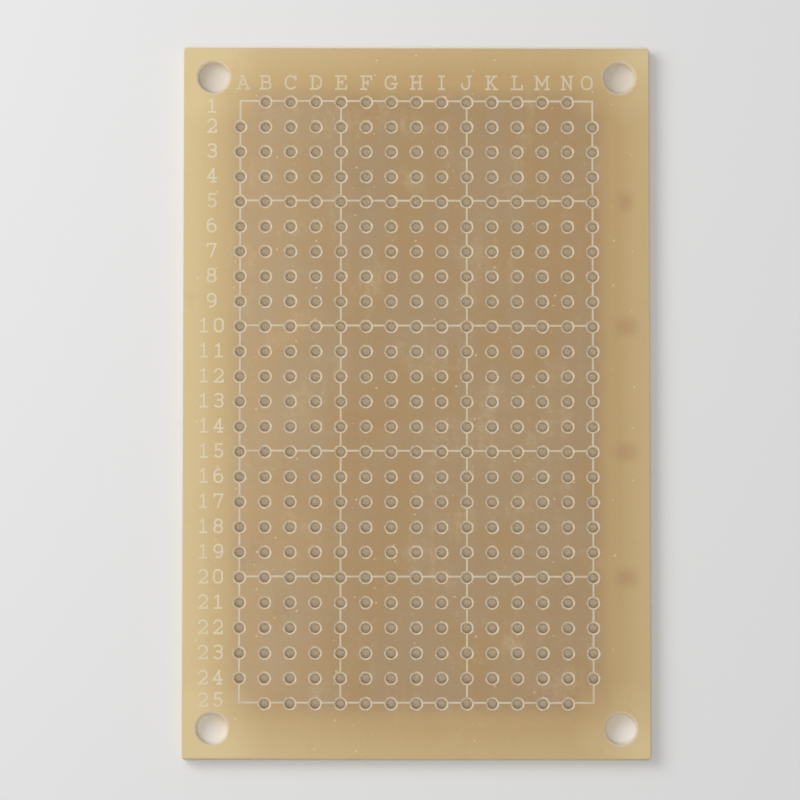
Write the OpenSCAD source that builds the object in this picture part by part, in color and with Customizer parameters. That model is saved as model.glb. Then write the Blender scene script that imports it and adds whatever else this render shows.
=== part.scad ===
// Prototype board: a single-sided perforated circuit board with a round copper land at every hole.
// The board lies with its component side up. The origin is the centre of the underside, on the plane
// of the lands' faces. +Y runs up the columns, from row 25 to row 1, and +X along the rows from A to O.

/* [Hole grid] */
// Distance from one hole to the next
pitch = 2.54; // [2.2:0.01:4]
// Number of hole columns, lettered from A
columns = 15; // [5:1:15]
// Number of hole rows, numbered from 1
rows = 25; // [5:1:40]
// Diameter of a lead hole
hole_d = 1; // [0.5:0.05:1.4]
// Width of the broken rim round each hole, on the component side
rim_w = 0.16; // [0.05:0.01:0.4]
// Depth of the broken rim
rim_depth = 0.1; // [0.02:0.01:0.4]

/* [Board] */
// Thickness of the laminate
board_t = 1.6; // [0.8:0.1:3.2]
// Distance from the outer columns of holes to the side edges
side_margin = 5.72; // [5.2:0.01:12]
// Distance from the outer rows of holes to the end edges
end_margin = 5.52; // [5.1:0.01:12]
// Radius of the board's corners
corner_r = 0.3; // [0.1:0.05:2]

/* [Mounting holes] */
// Diameter of a mounting hole
mount_d = 3.2; // [2:0.1:4]
// Distance from a mounting hole's centre to the side and end edges
mount_inset = 3; // [2.5:0.1:3.3]

/* [Copper] */
// Thickness of the copper foil
copper_t = 0.035; // [0.018:0.001:0.21]
// Diameter of a land
land_d = 2; // [1.5:0.05:2.15]
// Height of the numerals left in the foil
foil_digit_h = 1.7; // [1:0.1:2]
// Width of a foil numeral's strokes
foil_stroke = 0.3; // [0.15:0.01:0.4]
// Distance from the last column to the middle of the foil numerals
foil_number_gap = 3.27; // [3:0.01:3.8]

/* [Printed legend] */
// Thickness of the ink
ink_t = 0.02; // [0.01:0.005:0.1]
// Width of the grid lines
line_w = 0.2; // [0.1:0.01:0.4]
// Rows and columns from one grid line to the next
line_every = 5; // [2:1:10]
// How far the whole print sits above the holes
print_shift = 0.1; // [0:0.01:0.2]
// Height of the letters and numbers
digit_h = 1.5; // [1:0.1:2]
// Width of the letters' and numbers' strokes
stroke = 0.19; // [0.1:0.01:0.3]
// Distance from one digit of a number to the next
digit_advance = 1.5; // [1.2:0.05:1.8]
// Distance from row 1 to the foot of the letters
letter_gap = 1.14; // [0.9:0.01:2]
// Distance from column A to the middle of the row numbers
number_gap = 2.87; // [2.6:0.01:4]
// Least gap between a row number and the rim of a mounting hole
number_clearance = 0.41; // [0.1:0.01:0.6]
// How far the first letter moves in from its column
first_letter_shift = 0.28; // [0:0.01:0.6]
// How far the last letter moves in from its column
last_letter_shift = 0.55; // [0:0.01:0.6]

/* [Hidden] */
$fn = 48;
board_w = (columns - 1) * pitch + 2 * side_margin;
board_l = (rows - 1) * pitch + 2 * end_margin;
board_top = copper_t + board_t;
mount_x = board_w / 2 - mount_inset;
mount_y = board_l / 2 - mount_inset;
rim_d = hole_d + 2 * rim_w;
mount_rim_d = mount_d + 2 * rim_w;
over = 0.5; // how far a cutting shape runs past a face

function hole_x(col) = (col - (columns + 1) / 2) * pitch;
function hole_y(row) = ((rows + 1) / 2 - row) * pitch;

// The four corners of the grid have no hole
function has_hole(col, row) = (col > 1 && col < columns) || (row > 1 && row < rows);

// Grid lines run along the first and last row or column, and along every fifth one between
function has_line(i, last) = i == 1 || i == last || i % line_every == 0;

function digits(n) = n < 10 ? [n] : [floor(n / 10), n % 10];
function row_node(row) = str("lands_row_", row < 10 ? "0" : "", row);

LAND_NODES = [for (row = [1:rows]) row_node(row)];

// Each character is [width, straight strokes as x1, y1, x2, y2, arcs as x, y, radius, from, to].
// Lengths are centre lines in character heights, from the foot of the character's left side.
LETTERS = [
    // A
    [0.94, [[0.1, 0, 0.45, 1], [0.45, 1, 0.84, 0], [0.2, 0.34, 0.7, 0.34], [0.3, 1, 0.45, 1],
            [0, 0, 0.24, 0], [0.68, 0, 0.94, 0]], []],
    // B
    [0.8, [[0.14, 0, 0.14, 1], [0, 0, 0.5, 0], [0, 1, 0.48, 1], [0.14, 0.53, 0.5, 0.53]],
          [[0.48, 0.765, 0.235, -90, 90], [0.52, 0.265, 0.265, -90, 90]]],
    // C
    [0.8, [[0, 0.4, 0, 0.6], [0.78, 0.72, 0.78, 1]],
          [[0.4, 0.6, 0.4, 20, 180], [0.4, 0.4, 0.4, 180, 330]]],
    // D
    [0.8, [[0.14, 0, 0.14, 1], [0, 0, 0.4, 0], [0, 1, 0.4, 1], [0.8, 0.4, 0.8, 0.6]],
          [[0.4, 0.6, 0.4, 0, 90], [0.4, 0.4, 0.4, -90, 0]]],
    // E
    [0.8, [[0.18, 0, 0.18, 1], [0, 0, 0.8, 0], [0, 1, 0.76, 1], [0.18, 0.52, 0.5, 0.52],
           [0.8, 0, 0.8, 0.25], [0.76, 0.77, 0.76, 1], [0.5, 0.4, 0.5, 0.64]], []],
    // F
    [0.8, [[0.18, 0, 0.18, 1], [0, 0, 0.4, 0], [0, 1, 0.8, 1], [0.18, 0.5, 0.52, 0.5],
           [0.8, 0.76, 0.8, 1], [0.52, 0.37, 0.52, 0.63]], []],
    // G
    [0.88, [[0, 0.4, 0, 0.6], [0.76, 0.72, 0.76, 1], [0.48, 0.42, 0.88, 0.42],
            [0.76, 0.1, 0.76, 0.42]],
           [[0.4, 0.6, 0.4, 20, 180], [0.4, 0.4, 0.4, 180, 318]]],
    // H
    [0.84, [[0.13, 0, 0.13, 1], [0.71, 0, 0.71, 1], [0.13, 0.52, 0.71, 0.52], [0, 0, 0.26, 0],
            [0, 1, 0.26, 1], [0.58, 0, 0.84, 0], [0.58, 1, 0.84, 1]], []],
    // I
    [0.36, [[0.18, 0, 0.18, 1], [0, 0, 0.36, 0], [0, 1, 0.36, 1]], []],
    // J
    [0.72, [[0.56, 0.28, 0.56, 1], [0.4, 1, 0.72, 1], [0, 0.28, 0, 0.38]],
           [[0.28, 0.28, 0.28, 180, 360]]],
    // K
    [0.88, [[0.16, 0, 0.16, 1], [0.16, 0.36, 0.66, 1], [0.34, 0.58, 0.74, 0], [0, 0, 0.3, 0],
            [0, 1, 0.3, 1], [0.54, 1, 0.8, 1], [0.6, 0, 0.88, 0]], []],
    // L
    [0.8, [[0.2, 0, 0.2, 1], [0, 0, 0.8, 0], [0.04, 1, 0.38, 1], [0.8, 0, 0.8, 0.27]], []],
    // M
    [1.08, [[0.14, 0, 0.14, 1], [0.94, 0, 0.94, 1], [0.14, 1, 0.54, 0.3], [0.54, 0.3, 0.94, 1],
            [0, 0, 0.28, 0], [0.8, 0, 1.08, 0], [0.02, 1, 0.14, 1], [0.94, 1, 1.06, 1]], []],
    // N
    [0.84, [[0.13, 0, 0.13, 1], [0.71, 0, 0.71, 1], [0.13, 1, 0.71, 0], [0, 0, 0.26, 0],
            [0, 1, 0.13, 1], [0.58, 1, 0.84, 1]], []],
    // O
    [0.76, [[0, 0.38, 0, 0.62], [0.76, 0.38, 0.76, 0.62]],
           [[0.38, 0.62, 0.38, 0, 180], [0.38, 0.38, 0.38, 180, 360]]]
];

DIGITS = [
    // 0
    [0.62, [[0, 0.31, 0, 0.69], [0.62, 0.31, 0.62, 0.69]],
           [[0.31, 0.69, 0.31, 0, 180], [0.31, 0.31, 0.31, 180, 360]]],
    // 1
    [0.48, [[0.25, 0, 0.25, 1], [0.04, 0.84, 0.25, 0.97], [0, 0, 0.48, 0]], []],
    // 2
    [0.62, [[0.555, 0.5, 0, 0], [0, 0, 0.62, 0], [0.62, 0, 0.62, 0.15]],
           [[0.31, 0.69, 0.31, -38, 175]]],
    // 3
    [0.62, [[0.24, 1, 0.38, 1], [0.24, 0.53, 0.38, 0.53], [0.26, 0, 0.36, 0]],
           [[0.24, 0.765, 0.235, 90, 160], [0.38, 0.765, 0.235, -90, 90],
            [0.36, 0.265, 0.265, -90, 90], [0.26, 0.265, 0.265, 200, 270]]],
    // 4
    [0.64, [[0.44, 0, 0.44, 1], [0.44, 1, 0, 0.3], [0, 0.3, 0.64, 0.3], [0.28, 0, 0.6, 0]], []],
    // 5
    [0.6, [[0.1, 1, 0.55, 1], [0.1, 0.52, 0.1, 1]], [[0.3, 0.3, 0.3, -155, 133]]],
    // 6
    [0.62, [[0, 0.31, 0, 0.62]], [[0.31, 0.31, 0.31, 0, 360], [0.38, 0.62, 0.38, 75, 180]]],
    // 7
    [0.62, [[0, 1, 0.62, 1], [0, 0.84, 0, 1], [0.62, 1, 0.26, 0]], []],
    // 8
    [0.62, [[0.265, 1, 0.355, 1], [0.265, 0.53, 0.355, 0.53], [0.265, 0, 0.355, 0]],
           [[0.265, 0.765, 0.235, 90, 270], [0.355, 0.765, 0.235, -90, 90],
            [0.265, 0.265, 0.265, 90, 270], [0.355, 0.265, 0.265, -90, 90]]],
    // 9
    [0.62, [[0.62, 0.38, 0.62, 0.69]], [[0.31, 0.69, 0.31, 0, 360], [0.24, 0.38, 0.38, -105, 0]]]
];

module at_hole(col, row) {
    translate([hole_x(col), hole_y(row)]) children();
}

// The shape that a drill leaves: a straight hole with its upper rim broken
module drilled(d, top_d) {
    rotate_extrude()
        polygon([[0, -over], [d / 2, -over], [d / 2, board_t - rim_depth],
                 [top_d / 2, board_t], [top_d / 2, board_t + over], [0, board_t + over]]);
}

module rounded_rectangle(w, l, r) {
    square([w - 2 * r, l], center = true);
    square([w, l - 2 * r], center = true);
    for (x = [-1, 1], y = [-1, 1])
        translate([x * (w / 2 - r), y * (l / 2 - r)]) circle(r);
}

module straight_stroke(a, b, w) {
    run = b - a;
    translate(a) rotate(atan2(run[1], run[0])) translate([-w / 2, -w / 2])
        square([norm(run) + w, w]);
}

module arc_stroke(centre, r, from, to, w) {
    reach = 2 * r + w;
    steps = 8;
    translate(centre) intersection() {
        difference() {
            circle(r + w / 2);
            circle(r - w / 2);
        }
        if (to - from < 360)
            polygon(concat([[0, 0]], [for (i = [0:steps])
                let (a = from + (to - from) * i / steps) reach * [cos(a), sin(a)]]));
    }
}

// One character, centred on x, with its foot on y = 0
module character(shape, height, w) {
    unit = height - w;
    translate([-shape[0] * unit / 2, w / 2]) {
        for (s = shape[1]) straight_stroke([s[0], s[1]] * unit, [s[2], s[3]] * unit, w);
        for (a = shape[2]) arc_stroke([a[0], a[1]] * unit, a[2] * unit, a[3], a[4], w);
    }
}

// A whole number, centred on the origin
module number(n, height, w) {
    places = digits(n);
    for (i = [0:len(places) - 1])
        translate([(i - (len(places) - 1) / 2) * digit_advance, -height / 2])
            character(DIGITS[places[i]], height, w);
}

module laminate() {
    color("#cdb684") translate([0, 0, copper_t]) difference() {
        linear_extrude(board_t) rounded_rectangle(board_w, board_l, corner_r);
        for (row = [1:rows], col = [1:columns])
            if (has_hole(col, row)) at_hole(col, row) drilled(hole_d, rim_d);
        for (x = [-1, 1], y = [-1, 1])
            translate([x * mount_x, y * mount_y]) drilled(mount_d, mount_rim_d);
    }
}

module lands(row) {
    color("#b27a3f") linear_extrude(copper_t)
        for (col = [1:columns])
            if (has_hole(col, row)) at_hole(col, row) difference() {
                circle(d = land_d);
                circle(d = hole_d);
            }
}

// Numerals at every fifth row, which read from the copper side
module foil_numerals() {
    color("#b27a3f") for (row = [line_every:line_every:rows - 1])
        translate([hole_x(columns) + foil_number_gap, hole_y(row), 0])
            linear_extrude(copper_t) mirror([1, 0, 0]) number(row, foil_digit_h, foil_stroke);
}

module legend_lines() {
    line_l = hole_y(1) - hole_y(rows) + line_w;
    line_across = hole_x(columns) - hole_x(1) + line_w;
    color("#ddcdaf") translate([0, 0, board_top]) linear_extrude(ink_t) difference() {
        translate([0, print_shift]) {
            for (row = [1:rows])
                if (has_line(row, rows))
                    translate([0, hole_y(row)]) square([line_across, line_w], center = true);
            for (col = [1:columns])
                if (has_line(col, columns))
                    translate([hole_x(col), 0]) square([line_w, line_l], center = true);
        }
        for (row = [1:rows], col = [1:columns])
            if (has_hole(col, row) && (has_line(row, rows) || has_line(col, columns)))
                at_hole(col, row) circle(d = rim_d);
    }
}

module column_letters() {
    color("#ddcdaf") for (col = [1:columns]) {
        shift = col == 1 ? first_letter_shift : col == columns ? -last_letter_shift : 0;
        translate([hole_x(col) + shift, hole_y(1) + letter_gap + print_shift, board_top])
            linear_extrude(ink_t) character(LETTERS[col - 1], digit_h, stroke);
    }
}

// The first and last numbers move in from their rows, clear of the mounting holes
module row_numbers() {
    furthest = mount_y - mount_rim_d / 2 - number_clearance - digit_h / 2;
    color("#ddcdaf") for (row = [1:rows]) {
        y = min(furthest, max(-furthest, hole_y(row) + print_shift));
        translate([hole_x(1) - number_gap, y, board_top])
            linear_extrude(ink_t) number(row, digit_h, stroke);
    }
}

laminate();
for (row = [1:rows])
    lands(row);
foil_numerals();
legend_lines();
column_letters();
row_numbers();
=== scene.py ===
"""A prototype board: the looks of the drilled laminate, its copper lands and its printed legend.

Lengths are in metres, except in the finishes, which count in millimetres. The board lies component
side up, its lands on the floor at z = 0, with column A on the left (-X) and row 1 at the far end (+Y).
"""
import math

import bmesh
import bpy
from mathutils import Matrix, Vector


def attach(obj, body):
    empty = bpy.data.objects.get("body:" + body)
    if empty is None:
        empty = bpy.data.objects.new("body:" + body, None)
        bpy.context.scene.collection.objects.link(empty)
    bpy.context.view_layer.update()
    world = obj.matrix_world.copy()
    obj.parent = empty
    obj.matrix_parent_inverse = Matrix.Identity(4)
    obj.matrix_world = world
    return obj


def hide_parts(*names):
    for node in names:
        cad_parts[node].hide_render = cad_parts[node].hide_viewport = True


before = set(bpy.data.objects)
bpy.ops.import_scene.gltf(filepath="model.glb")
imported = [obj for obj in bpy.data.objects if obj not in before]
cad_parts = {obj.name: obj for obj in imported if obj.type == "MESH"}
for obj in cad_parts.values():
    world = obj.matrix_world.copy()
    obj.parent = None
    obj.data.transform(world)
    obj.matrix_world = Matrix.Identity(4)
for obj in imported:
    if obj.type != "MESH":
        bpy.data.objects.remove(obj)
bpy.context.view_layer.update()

# The board's sizes, as in the CAD, and the small ones that only the looks have
MM = 0.001
PITCH = 2.54 * MM
COLUMNS, ROWS = 15, 25
BOARD_W, BOARD_L = 47 * MM, 72 * MM
UNDERSIDE, TOP = 0.035 * MM, 1.635 * MM
CORNER_R, EDGE_BREAK = 0.3 * MM, 0.05 * MM
HOLE_R, RIM_R, RIM_DEPTH = 0.5 * MM, 0.66 * MM, 0.1 * MM
MOUNT_X, MOUNT_Y, MOUNT_R, MOUNT_RIM_R = 20.5 * MM, 33 * MM, 1.6 * MM, 1.76 * MM
LAND_R, LAND_EDGE = 1 * MM, 0.015 * MM
FIRST_X, LAST_Y = -(COLUMNS - 1) / 2 * PITCH, -(ROWS - 1) / 2 * PITCH
# Sides of a lead hole and of a mounting hole, steps of a round corner, cuts across a drilled tile
LEAD_SIDES, MOUNT_SIDES, CORNER_STEPS, TILE_CUTS = 24, 48, 5, 6
SMOOTH_UNDER = math.radians(28)
HAIR = 1e-6


# Camera

CAMERA_PLACE = Vector((-0.010578, -0.091692, 0.795116))
CAMERA_RIGHT = Vector((0.999936, 0.000384, 0.01129))
CAMERA_UP = Vector((-0.001679, 0.993366, 0.114982))
SENSOR_MM, LENS_MM = 36, 357.1
NEAREST, FARTHEST = 0.05, 20


def make_camera():
    """The photograph's view: a long lens, nearly square on, from a little below the middle."""
    data = bpy.data.cameras.new("camera")
    data.sensor_width, data.lens = SENSOR_MM, LENS_MM
    data.clip_start, data.clip_end = NEAREST, FARTHEST
    camera = bpy.data.objects.new("camera", data)
    bpy.context.scene.collection.objects.link(camera)
    right, up = CAMERA_RIGHT.normalized(), CAMERA_UP.normalized()
    turn = Matrix((right, up, right.cross(up))).transposed().to_4x4()
    camera.matrix_world = Matrix.Translation(CAMERA_PLACE) @ turn
    bpy.context.scene.camera = camera


# Modelling by hand

def open_piece(name):
    """A new empty piece at the origin, open in edit mode."""
    bpy.ops.object.select_all(action="DESELECT")
    piece = bpy.data.objects.new(name, bpy.data.meshes.new(name))
    bpy.context.scene.collection.objects.link(piece)
    bpy.context.view_layer.objects.active = piece
    piece.select_set(True)
    bpy.ops.object.mode_set(mode="EDIT")
    return piece


def pick(kind, wanted):
    """Selects the vertices, edges or faces that are wanted, and nothing else."""
    bpy.ops.mesh.select_mode(type={"verts": "VERT", "edges": "EDGE", "faces": "FACE"}[kind])
    bpy.ops.mesh.select_all(action="DESELECT")
    data = bpy.context.edit_object.data
    shape = bmesh.from_edit_mesh(data)
    for part in getattr(shape, kind):
        if wanted(part):
            part.select_set(True)
    bmesh.update_edit_mesh(data)


def level_with(z):
    """True for an edge that lies at height z."""
    return lambda edge: all(abs(v.co.z - z) < HAIR for v in edge.verts)


def extrude(drop, wider=(1, 1), centre=(0, 0)):
    """Extrudes the selected ring downwards and widens it about its centre."""
    bpy.ops.mesh.extrude_edges_move(TRANSFORM_OT_translate={"value": (0, 0, -drop)})
    if wider != (1, 1):
        bpy.ops.transform.resize(value=(wider[0], wider[1], 1), center_override=(*centre, 0))


def repeat(piece, step, count, merge):
    """Copies the whole piece along one direction."""
    row = piece.modifiers.new("row", "ARRAY")
    row.use_relative_offset, row.use_constant_offset = False, True
    row.constant_offset_displace = step
    row.count = count
    row.use_merge_vertices, row.merge_threshold = merge, HAIR
    bpy.ops.object.modifier_apply(modifier=row.name)


def finish_piece(piece, finish, slot, *nodes):
    """Turns the faces outwards, smooths the round ones and hands the piece to the frame."""
    bpy.ops.mesh.select_all(action="SELECT")
    bpy.ops.mesh.normals_make_consistent(inside=False)
    bpy.ops.object.mode_set(mode="OBJECT")
    bpy.ops.object.shade_smooth_by_angle(angle=SMOOTH_UNDER)
    piece.data.materials.append(finish)
    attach(piece, "root")
    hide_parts(*nodes)


# The laminate

def drill_tile(x, y):
    """One pitch of board round a lead hole with a broken rim, open at its four sides."""
    bpy.ops.mesh.primitive_grid_add(x_subdivisions=TILE_CUTS, y_subdivisions=TILE_CUTS,
                                    size=PITCH, location=(x, y, TOP))
    inside, near = 0.45 * PITCH, 0.4 * PITCH
    pick("verts", lambda v: max(abs(v.co.x - x), abs(v.co.y - y)) < inside)
    bpy.ops.mesh.delete(type="VERT")
    bpy.ops.mesh.primitive_circle_add(vertices=LEAD_SIDES, radius=RIM_R, location=(x, y, TOP))
    pick("edges", lambda edge: True)
    bpy.ops.mesh.bridge_edge_loops()
    pick("edges", lambda e: all(math.hypot(v.co.x - x, v.co.y - y) < near for v in e.verts))
    narrower = HOLE_R / RIM_R
    extrude(RIM_DEPTH, (narrower, narrower), (x, y))
    extrude(TOP - UNDERSIDE - RIM_DEPTH)
    pick("edges", lambda e: e.is_boundary and level_with(TOP)(e))
    bpy.ops.mesh.duplicate_move(TRANSFORM_OT_translate={"value": (0, 0, UNDERSIDE - TOP)})
    pick("edges", level_with(UNDERSIDE))
    bpy.ops.mesh.bridge_edge_loops()


def mill_outline():
    """The board's four sides, with round corners and both edges broken."""
    inner_w, inner_l = BOARD_W - 2 * EDGE_BREAK, BOARD_L - 2 * EDGE_BREAK
    bpy.ops.mesh.primitive_plane_add(size=inner_w, location=(0, 0, TOP))
    bpy.ops.transform.resize(value=(1, inner_l / inner_w, 1), center_override=(0, 0, TOP))
    bpy.ops.mesh.bevel(offset=CORNER_R - EDGE_BREAK, segments=CORNER_STEPS, affect="VERTICES")
    bpy.ops.mesh.select_all(action="SELECT")
    bpy.ops.mesh.delete(type="ONLY_FACE")
    pick("edges", lambda edge: True)
    extrude(EDGE_BREAK, (BOARD_W / inner_w, BOARD_L / inner_l))
    extrude(TOP - UNDERSIDE - 2 * EDGE_BREAK)
    extrude(EDGE_BREAK, (inner_w / BOARD_W, inner_l / BOARD_L))


def drill_mounting_hole(x, y):
    """The rim and the wall of one mounting hole."""
    bpy.ops.mesh.select_all(action="DESELECT")
    bpy.ops.mesh.primitive_circle_add(vertices=MOUNT_SIDES, radius=MOUNT_RIM_R,
                                      location=(x, y, TOP))
    narrower = MOUNT_R / MOUNT_RIM_R
    extrude(RIM_DEPTH, (narrower, narrower), (x, y))
    extrude(TOP - UNDERSIDE - RIM_DEPTH)


def make_laminate(finish):
    """The drilled field, repeated from one tile, and the margins round it."""
    board = open_piece("drilled_laminate")
    drill_tile(FIRST_X, LAST_Y)
    bpy.ops.object.mode_set(mode="OBJECT")
    repeat(board, (PITCH, 0, 0), COLUMNS, True)
    repeat(board, (0, PITCH, 0), ROWS, True)
    bpy.ops.object.mode_set(mode="EDIT")
    # The grid's four corners have no hole
    pick("faces", lambda face: abs(face.calc_center_median().x) > -FIRST_X - PITCH / 2
         and abs(face.calc_center_median().y) > -LAST_Y - PITCH / 2)
    bpy.ops.mesh.delete(type="FACE")
    bpy.ops.object.mode_set(mode="OBJECT")

    open_piece("margins")
    mill_outline()
    for x in (-MOUNT_X, MOUNT_X):
        for y in (-MOUNT_Y, MOUNT_Y):
            drill_mounting_hole(x, y)
    bpy.ops.object.mode_set(mode="OBJECT")
    board.select_set(True)
    bpy.context.view_layer.objects.active = board
    bpy.ops.object.join()
    bpy.ops.object.mode_set(mode="EDIT")
    # Flat faces join the outline, the mounting holes and the drilled field
    for z in (TOP, UNDERSIDE):
        pick("edges", lambda e: e.is_boundary and level_with(z)(e))
        bpy.ops.mesh.fill(use_beauty=True)
    finish_piece(board, finish, "laminate", "laminate")


# The copper lands

def shape_land(x, y):
    """One land: a flat ring, closed all round, whose outer edge the etching left a little narrow."""
    bpy.ops.mesh.primitive_circle_add(vertices=LEAD_SIDES, radius=LAND_R,
                                      location=(x, y, UNDERSIDE))
    narrower = 1 - LAND_EDGE / LAND_R
    inwards = HOLE_R / (LAND_R * narrower)
    extrude(UNDERSIDE, (narrower, narrower), (x, y))
    extrude(0, (inwards, inwards), (x, y))
    extrude(-UNDERSIDE)
    pick("edges", level_with(UNDERSIDE))
    bpy.ops.mesh.bridge_edge_loops()


def make_lands(finish):
    """One piece for each row of lands."""
    for row in range(1, ROWS + 1):
        lands = open_piece("land_rings_%02d" % row)
        bpy.ops.mesh.select_mode(type="EDGE")
        shape_land(FIRST_X, -LAST_Y - (row - 1) * PITCH)
        bpy.ops.object.mode_set(mode="OBJECT")
        repeat(lands, (PITCH, 0, 0), COLUMNS, False)
        bpy.ops.object.mode_set(mode="EDIT")
        if row in (1, ROWS):
            pick("verts", lambda v: abs(v.co.x) > -FIRST_X - PITCH / 2)
            bpy.ops.mesh.delete(type="VERT")
        finish_piece(lands, finish, "copper", "lands_row_%02d" % row)


# Finishes

def tone(r, g, b):
    """A colour given in screen values from 0 to 255."""
    def linear(v):
        v = v / 255
        return v / 12.92 if v <= 0.04045 else ((v + 0.055) / 1.055) ** 2.4
    return (linear(r), linear(g), linear(b), 1)


# Margin tones: the deep one, and a pale one that paints light on the margins
MARGIN_DEEP, MARGIN_PAINTED_LIGHT = tone(184, 153, 101), tone(212, 189, 139)
# Field tones: warm and cool browns, and a pale one that paints light on the field's left
FIELD_WARM, FIELD_COOL, FIELD_PAINTED_LIGHT = tone(165, 132, 86), tone(161, 134, 97), tone(216, 188, 144)
NUMERAL_STAIN = tone(160, 122, 82)
RESIN_PALE, RESIN_DARK, FLECK = tone(222, 200, 156), tone(136, 108, 74), tone(232, 212, 172)
BROKEN_GLASS, HOLE_WALL = tone(218, 203, 178), tone(245, 231, 199)
MILLED_PALE, MILLED_DARK = tone(219, 202, 164), tone(178, 150, 104)
# Ink over the margins and over the field: where it is thick, and where the board shows through
INK_MARGIN, INK_FIELD, INK_LETTERS = tone(220, 205, 175), tone(208, 193, 169), tone(210, 193, 163)
THIN_MARGIN, THIN_FIELD = tone(205, 182, 138), tone(178, 153, 116)
COPPER, TARNISH, BRUSHED = tone(206, 133, 84), tone(164, 96, 58), tone(226, 164, 116)
# Floor tones: plain pale grey, and the painted light and painted shade laid on it under the board
PALE_GREY, FLOOR_PAINTED_DAYLIGHT, FLOOR_SHADED = tone(229, 229, 229), tone(223, 211, 194), tone(214, 208, 200)


class Finish:
    """The nodes of one material, laid on the piece's own place in millimetres."""

    def __init__(self, name, roughness, **surface):
        self.material = bpy.data.materials.new(name)
        self.material.use_nodes = True
        self.nodes = self.material.node_tree.nodes
        self.surface = self.nodes["Principled BSDF"]
        self.surface.inputs["Roughness"].default_value = roughness
        for socket, value in surface.items():
            self.surface.inputs[socket.replace("_", " ")].default_value = value
        place = self.nodes.new("ShaderNodeTexCoord").outputs["Object"]
        self.place = self.node("ShaderNodeMapping", Vector=place, Scale=(1000, 1000, 1000))
        self.x, self.y, self.z = self.node("ShaderNodeSeparateXYZ", outputs=3, Vector=self.place)

    def node(self, kind, outputs=1, **inputs):
        made = self.nodes.new(kind)
        for name, value in inputs.items():
            self.put(made.inputs[name], value)
        return made.outputs[0] if outputs == 1 else made.outputs[:outputs]

    def put(self, socket, value):
        if isinstance(value, bpy.types.NodeSocket):
            self.material.node_tree.links.new(value, socket)
        else:
            socket.default_value = value

    def maths(self, operation, *values):
        made = self.nodes.new("ShaderNodeMath")
        made.operation = operation
        for socket, value in zip(made.inputs, values):
            self.put(socket, value)
        return made.outputs[0]

    def times(self, *values):
        total = values[0]
        for value in values[1:]:
            total = self.maths("MULTIPLY", total, value)
        return total

    def plus(self, *values):
        total = values[0]
        for value in values[1:]:
            total = self.maths("ADD", total, value)
        return total

    def apart(self, value, other):
        """How far two values lie from each other."""
        return self.maths("ABSOLUTE", self.maths("SUBTRACT", value, other))

    def reach(self, x, y):
        """The straight distance that two offsets at right angles make."""
        return self.maths("SQRT", self.plus(self.times(x, x), self.times(y, y)))

    def uneven(self, noise, weight):
        """A noise taken about its middle, at a weight."""
        return self.times(self.maths("SUBTRACT", noise, 0.5), weight)

    def fade(self, value, start, end, low=0.0, high=1.0):
        """Runs softly from low to high as the value goes from start to end."""
        made = self.nodes.new("ShaderNodeMapRange")
        made.interpolation_type = "SMOOTHSTEP"
        for socket, given in zip(made.inputs, (value, start, end, low, high)):
            self.put(socket, given)
        return made.outputs[0]

    def mix(self, share, a, b):
        made = self.nodes.new("ShaderNodeMix")
        made.data_type = "RGBA"
        for name, value in (("Factor", share), ("A", a), ("B", b)):
            socket = next(s for s in made.inputs if s.name == name
                          and s.type == ("VALUE" if name == "Factor" else "RGBA"))
            self.put(socket, value)
        return next(s for s in made.outputs if s.type == "RGBA")

    def noise(self, scale, detail=2.0, stretch=(1, 1, 1)):
        place = self.place
        if stretch != (1, 1, 1):
            place = self.node("ShaderNodeMapping", Vector=place, Scale=stretch)
        return self.node("ShaderNodeTexNoise", Vector=place, Scale=scale, Detail=detail)

    def bump(self, height, distance):
        made = self.node("ShaderNodeBump", Height=height, Distance=distance)
        self.put(self.surface.inputs["Normal"], made)

    def set(self, socket, value):
        self.put(self.surface.inputs[socket], value)


# The sizes that the finishes need, in millimetres
STEP, HOLE, RIM = PITCH / MM, HOLE_R / MM, RIM_R / MM
MOUNT, MOUNT_RIM = MOUNT_R / MM, MOUNT_RIM_R / MM
GRID_X, GRID_Y = -FIRST_X / MM, -LAST_Y / MM
HALF_W, HALF_L = BOARD_W / 2 / MM, BOARD_L / 2 / MM
FIELD_SHIFT = 0.15
NUMERALS_X, NUMERALS_EVERY = 21.05, 5 * STEP
FIRST_NUMERAL_Y = GRID_Y - 4 * STEP
# Radians in a millimetre, for a ply every 0.2 mm
PLY_WAVE = 31.4


def copper_behind(f):
    """How much of the copper field, a little out of line with the holes, lies behind a place."""
    return f.times(f.fade(f.apart(f.x, FIELD_SHIFT), 19.8, 17.4),
                   f.fade(f.maths("ABSOLUTE", f.y), 32.6, 30.1))


def numerals_behind(f):
    """How much of the copper numerals 5, 10, 15 and 20 in the right margin lies behind a place."""
    # The first numeral, 5, is narrower than the others
    one_digit = f.maths("GREATER_THAN", f.y, 14.0)
    half_width = f.maths("SUBTRACT", 2.0, f.times(one_digit, 0.8))
    off_row = f.maths("WRAP", f.maths("SUBTRACT", f.y, FIRST_NUMERAL_Y),
                      NUMERALS_EVERY / 2, -NUMERALS_EVERY / 2)
    middle_y = FIRST_NUMERAL_Y - 1.5 * NUMERALS_EVERY
    return f.times(f.fade(f.apart(f.x, NUMERALS_X), half_width, 0.1),
                   f.fade(f.maths("ABSOLUTE", off_row), 1.5, 0.2),
                   f.maths("LESS_THAN", f.apart(f.y, middle_y), 22.0))


def from_lead_hole(f, across, along):
    """Distance from the middle of the nearest lead hole, large where the grid has none."""
    off_x, off_y = (f.maths("WRAP", value, STEP / 2, -STEP / 2) for value in (f.x, f.y))
    no_corner = f.maths("MAXIMUM", f.maths("LESS_THAN", across, GRID_X - STEP / 2),
                        f.maths("LESS_THAN", along, GRID_Y - STEP / 2))
    in_grid = f.times(f.maths("LESS_THAN", across, GRID_X + STEP / 2),
                      f.maths("LESS_THAN", along, GRID_Y + STEP / 2), no_corner)
    return f.plus(f.reach(off_x, off_y), f.fade(in_grid, 0.0, 1.0, 9.0, 0.0))


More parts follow.
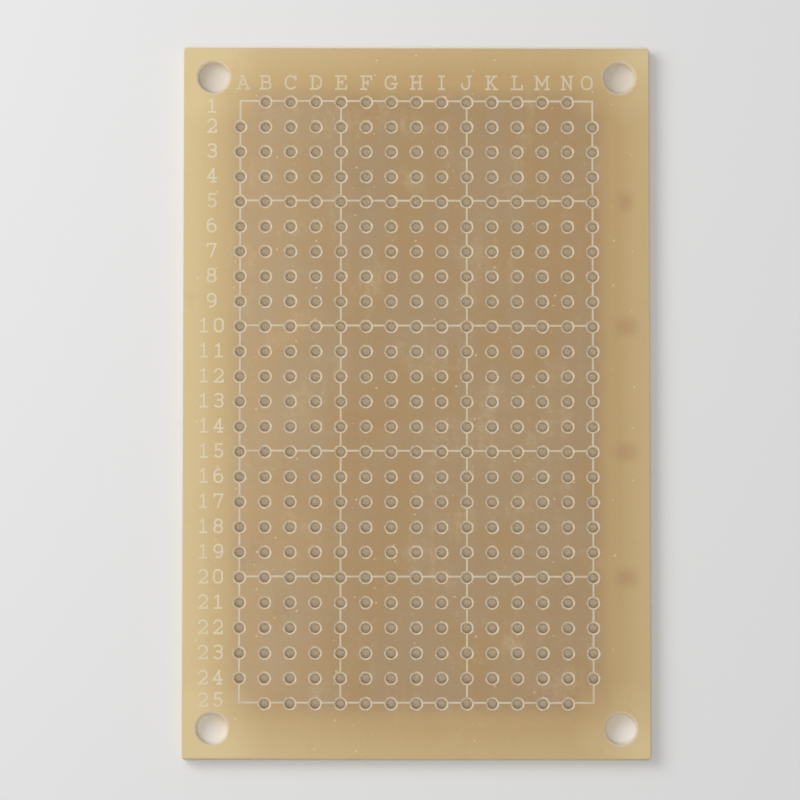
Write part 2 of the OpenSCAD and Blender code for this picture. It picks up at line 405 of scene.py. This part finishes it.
def flecks(f):
    """A small pale fleck in about every fifth cell of the sheet."""
    cell = f.nodes.new("ShaderNodeTexVoronoi")
    cell.voronoi_dimensions = "2D"
    f.put(cell.inputs["Vector"], f.place)
    cell.inputs["Scale"].default_value = 0.5
    chance = f.node("ShaderNodeSeparateColor", Color=cell.outputs["Color"])
    has_fleck = 0.78
    size = f.fade(chance, has_fleck, 1.0, 0.035, 0.085)
    return f.times(f.fade(cell.outputs["Distance"], size, 0.01),
                   f.maths("GREATER_THAN", chance, has_fleck))


def laminate_finish():
    """Glass composite that lets the copper behind it show as a soft brown field."""
    f = Finish("glass composite", 0.5, IOR=1.5)
    across, along = f.maths("ABSOLUTE", f.x), f.maths("ABSOLUTE", f.y)
    off = from_lead_hole(f, across, along)
    mount = f.reach(f.maths("SUBTRACT", across, MOUNT_X / MM),
                    f.maths("SUBTRACT", along, MOUNT_Y / MM))
    corner = f.reach(f.maths("SUBTRACT", across, GRID_X), f.maths("SUBTRACT", along, GRID_Y))
    # What lies behind the sheet shows on its component side only
    upper = f.fade(f.z, 0.3, 1.3)

    # Margins, with painted light: a painted glow towards the milled edges and the mounting holes, and
    # painted light from the left, which leaves the right a little darker
    painted_edge_glow = f.plus(f.fade(across, 19.0, HALF_W, 0.0, 0.5), f.fade(along, 31.5, HALF_L, 0.0, 0.4),
                     f.fade(mount, 6.0, MOUNT, 0.0, 0.3))
    painted_left_light = f.plus(f.fade(f.x, -22.0, 4.0, 0.2, -0.11), f.fade(f.x, -14.0, -22.0, 0.0, 0.2))
    colour = f.mix(f.plus(painted_edge_glow, painted_left_light), MARGIN_DEEP, MARGIN_PAINTED_LIGHT)

    # Copper behind the sheet: the field of lands, less strong at the grid's empty corners, and
    # the numerals in the right margin. The fleece of short glass fibres makes the field patchy
    field = f.times(copper_behind(f), f.fade(corner, 0.4, 2.6, 0.35, 1.0), upper)
    fleece = f.noise(2.2, 3.0)
    patchy = f.plus(f.fade(f.noise(0.2, 3.0, (1.0, 0.7, 1.0)), 0.38, 0.62, 0.1, 0.9),
                    f.fade(fleece, 0.2, 0.8, -0.35, 0.35))
    brown = f.mix(patchy, FIELD_WARM, FIELD_COOL)
    # Painted light from the left: the field is mixed paler towards the left
    brown = f.mix(f.fade(f.x, -20.0, -4.0, 0.28, 0.0), brown, FIELD_PAINTED_LIGHT)
    colour = f.mix(field, colour, brown)
    colour = f.mix(f.times(numerals_behind(f), upper, 0.45), colour, NUMERAL_STAIN)

    # Cloudy resin, long glass fibres both ways, fine grain, and a few pale flecks
    cloud = f.noise(0.22, 3.0)
    streak = f.noise(1.1, 2.0, (1.0, 0.06, 1.0))
    cross_streak = f.noise(1.3, 2.0, (0.06, 1.0, 1.0))
    grain = f.noise(4.5, 3.0)
    shade = f.plus(f.uneven(cloud, 0.16), f.uneven(streak, 0.07), f.uneven(cross_streak, 0.03),
                   f.uneven(grain, 0.07))
    shade = f.times(shade, f.fade(field, 0.0, 1.0, 0.5, 1.0))
    shade = f.plus(shade, f.uneven(fleece, 0.06))
    colour = f.mix(f.fade(shade, 0.0, 0.12, 0.0, 0.5), colour, RESIN_PALE)
    colour = f.mix(f.fade(shade, 0.0, -0.12, 0.0, 0.5), colour, RESIN_DARK)
    colour = f.mix(f.times(flecks(f), 0.6), colour, FLECK)

    # Broken glass at the holes' rims and walls, and on the milled sides with their plies
    chips = f.noise(1.9, 2.0)
    ragged = f.plus(off, f.fade(chips, 0.25, 0.75, 0.03, -0.03))
    broken = f.times(f.fade(ragged, RIM + 0.04, RIM - 0.01),
                     f.fade(off, HOLE + 0.01, HOLE + 0.06, 0.25, 1.0))
    broken = f.maths("MAXIMUM", broken,
                     f.fade(mount, MOUNT_RIM + 0.06, MOUNT_RIM - 0.01, 0.0, 0.75))
    colour = f.mix(f.times(broken, f.fade(chips, 0.3, 0.7, 0.72, 1.0)), colour, BROKEN_GLASS)
    wall = f.maths("MAXIMUM", f.fade(off, HOLE + 0.03, HOLE + 0.01),
                   f.fade(mount, MOUNT + 0.03, MOUNT + 0.01))
    colour = f.mix(f.times(wall, f.fade(f.z, 1.6, 1.45)), colour, HOLE_WALL)
    side = f.maths("MAXIMUM", f.fade(across, HALF_W - 0.06, HALF_W - 0.01),
                   f.fade(along, HALF_L - 0.06, HALF_L - 0.01))
    ply = f.fade(f.maths("SINE", f.times(f.z, PLY_WAVE)), -0.6, 0.9, 0.0, 0.55)
    ply = f.times(ply, f.fade(f.noise(1.6, 2.0, (1.0, 1.0, 6.0)), 0.35, 0.65, 0.3, 1.0))
    colour = f.mix(side, colour, f.mix(ply, MILLED_PALE, MILLED_DARK))
    f.set("Base Color", colour)

    rough_places = f.maths("MAXIMUM", broken, side)
    f.set("Roughness", f.plus(f.fade(grain, 0.3, 0.7, 0.42, 0.54), f.times(rough_places, 0.3)))
    height = f.plus(f.times(grain, 0.5), f.plus(streak, cross_streak))
    f.bump(f.plus(height, f.times(rough_places, f.noise(9.0, 2.0), 2.0)), 0.004 * MM)
    return f.material


def ink_finish():
    """Thin cream ink, uneven, that lets some of the board through."""
    f = Finish("cream ink", 0.55, IOR=1.45)
    thin = f.noise(0.9, 3.0)
    pores = f.noise(7.0, 2.0)
    over = f.mix(copper_behind(f), INK_MARGIN, INK_FIELD)
    # The ink of the column letters, at the far end, is a little thinner
    over = f.mix(f.fade(f.y, 31.0, 31.6, 0.0, 0.9), over, INK_LETTERS)
    under = f.mix(copper_behind(f), THIN_MARGIN, THIN_FIELD)
    colour = f.mix(f.fade(thin, 0.3, 0.72, 0.0, 0.3), over, under)
    colour = f.mix(f.fade(pores, 0.56, 0.76, 0.0, 0.4), colour, under)
    f.set("Base Color", colour)
    f.set("Roughness", f.fade(pores, 0.3, 0.7, 0.48, 0.62))
    f.bump(f.plus(pores, thin), 0.004 * MM)
    return f.material


def copper_finish():
    """Bare foil under a thin coat of flux, a little tarnished in patches."""
    f = Finish("fluxed copper", 0.32, Metallic=0.9, Coat_Weight=0.35, Coat_Roughness=0.25)
    tarnish = f.noise(0.5, 4.0)
    brushed = f.noise(3.0, 3.0, (1.0, 0.08, 1.0))
    colour = f.mix(f.fade(tarnish, 0.38, 0.68), COPPER, TARNISH)
    colour = f.mix(f.fade(brushed, 0.35, 0.7, 0.0, 0.35), colour, BRUSHED)
    f.set("Base Color", colour)
    f.set("Roughness", f.plus(f.fade(tarnish, 0.3, 0.7, 0.26, 0.44),
                              f.fade(brushed, 0.3, 0.7, 0.0, 0.08)))
    f.bump(brushed, 0.002 * MM)
    return f.material


def refinish(node, finish):
    """Gives a CAD node that keeps its shape a better material."""
    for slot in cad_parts[node].material_slots:
        slot.material = finish


# Floor and light

FLOOR_SIZE, FLOOR_GAP = 24, 0.01 * MM
WINDOW_PLACE, WINDOW_SIZE, WINDOW_WATTS = Vector((-0.2, 0.09, 0.24)), 0.22, 0.54
SUN_AIM, SUN_STRENGTH, SUN_SPREAD = Vector((0.02, 0.12, -0.6)), 0.75, math.radians(17)
ROOM_STRENGTH = 0.37


def hang(name, lamp, aim):
    """Hangs a lamp that looks along aim."""
    hung = bpy.data.objects.new(name, lamp)
    bpy.context.scene.collection.objects.link(hung)
    hung.rotation_euler = aim.to_track_quat("-Z", "Y").to_euler()
    return hung


def lay_floor():
    """A pale matt floor, with painted light and shade only where it shows through the board's holes.
    """
    bpy.ops.object.select_all(action="DESELECT")
    bpy.ops.mesh.primitive_plane_add(size=FLOOR_SIZE, location=(0, 0, -FLOOR_GAP))
    floor = bpy.context.active_object
    floor.name = "floor"
    f = Finish("matt floor", 0.9)
    across, along = f.maths("ABSOLUTE", f.x), f.maths("ABSOLUTE", f.y)
    # Painted light: the warm daylight that would cross the sheet is painted as a tint on the floor
    # under it
    under = f.times(f.fade(across, 23.0, 18.5), f.fade(along, 35.5, 31.0))
    colour = f.mix(under, PALE_GREY, FLOOR_PAINTED_DAYLIGHT)
    # The floor is a little shaded under the two far mounting holes
    far_hole = f.reach(f.maths("SUBTRACT", across, MOUNT_X / MM),
                       f.maths("SUBTRACT", f.y, MOUNT_Y / MM))
    f.set("Base Color", f.mix(f.fade(far_hole, 2.8, 1.9), colour, FLOOR_SHADED))
    f.set("Specular IOR Level", 0.1)
    floor.data.materials.append(f.material)


def hang_lamps():
    """A soft square lamp from the left and a weak, soft sun from overhead."""
    window = bpy.data.lights.new("window", "AREA")
    window.shape, window.size, window.energy = "SQUARE", WINDOW_SIZE, WINDOW_WATTS
    hang("window", window, -WINDOW_PLACE).location = WINDOW_PLACE
    overhead = bpy.data.lights.new("overhead", "SUN")
    overhead.energy, overhead.angle = SUN_STRENGTH, SUN_SPREAD
    hang("overhead", overhead, SUN_AIM)


def make_room():
    """An even white room, seen as pale grey by the camera and in glancing light."""
    world = bpy.data.worlds.new("room")
    world.use_nodes = True
    bpy.context.scene.world = world
    tree = world.node_tree
    room = tree.nodes["Background"]
    room.inputs["Color"].default_value = (1, 1, 1, 1)
    room.inputs["Strength"].default_value = ROOM_STRENGTH
    seen = tree.nodes.new("ShaderNodeBackground")
    seen.inputs["Color"].default_value = PALE_GREY
    path = tree.nodes.new("ShaderNodeLightPath")
    direct = path.outputs["Is Camera Ray"]
    for ray in ("Is Glossy Ray", "Is Transmission Ray"):
        either = tree.nodes.new("ShaderNodeMath")
        either.operation = "MAXIMUM"
        tree.links.new(direct, either.inputs[0])
        tree.links.new(path.outputs[ray], either.inputs[1])
        direct = either.outputs[0]
    mix = tree.nodes.new("ShaderNodeMixShader")
    tree.links.new(direct, mix.inputs[0])
    tree.links.new(room.outputs[0], mix.inputs[1])
    tree.links.new(seen.outputs[0], mix.inputs[2])
    tree.links.new(mix.outputs[0], tree.nodes["World Output"].inputs["Surface"])
    bpy.context.scene.view_settings.view_transform = "Standard"


make_camera()
make_laminate(laminate_finish())
copper = copper_finish()
make_lands(copper)
ink = ink_finish()
refinish("foil_numerals", copper)
for printed in ("legend_lines", "column_letters", "row_numbers"):
    refinish(printed, ink)
lay_floor()
hang_lamps()
make_room()
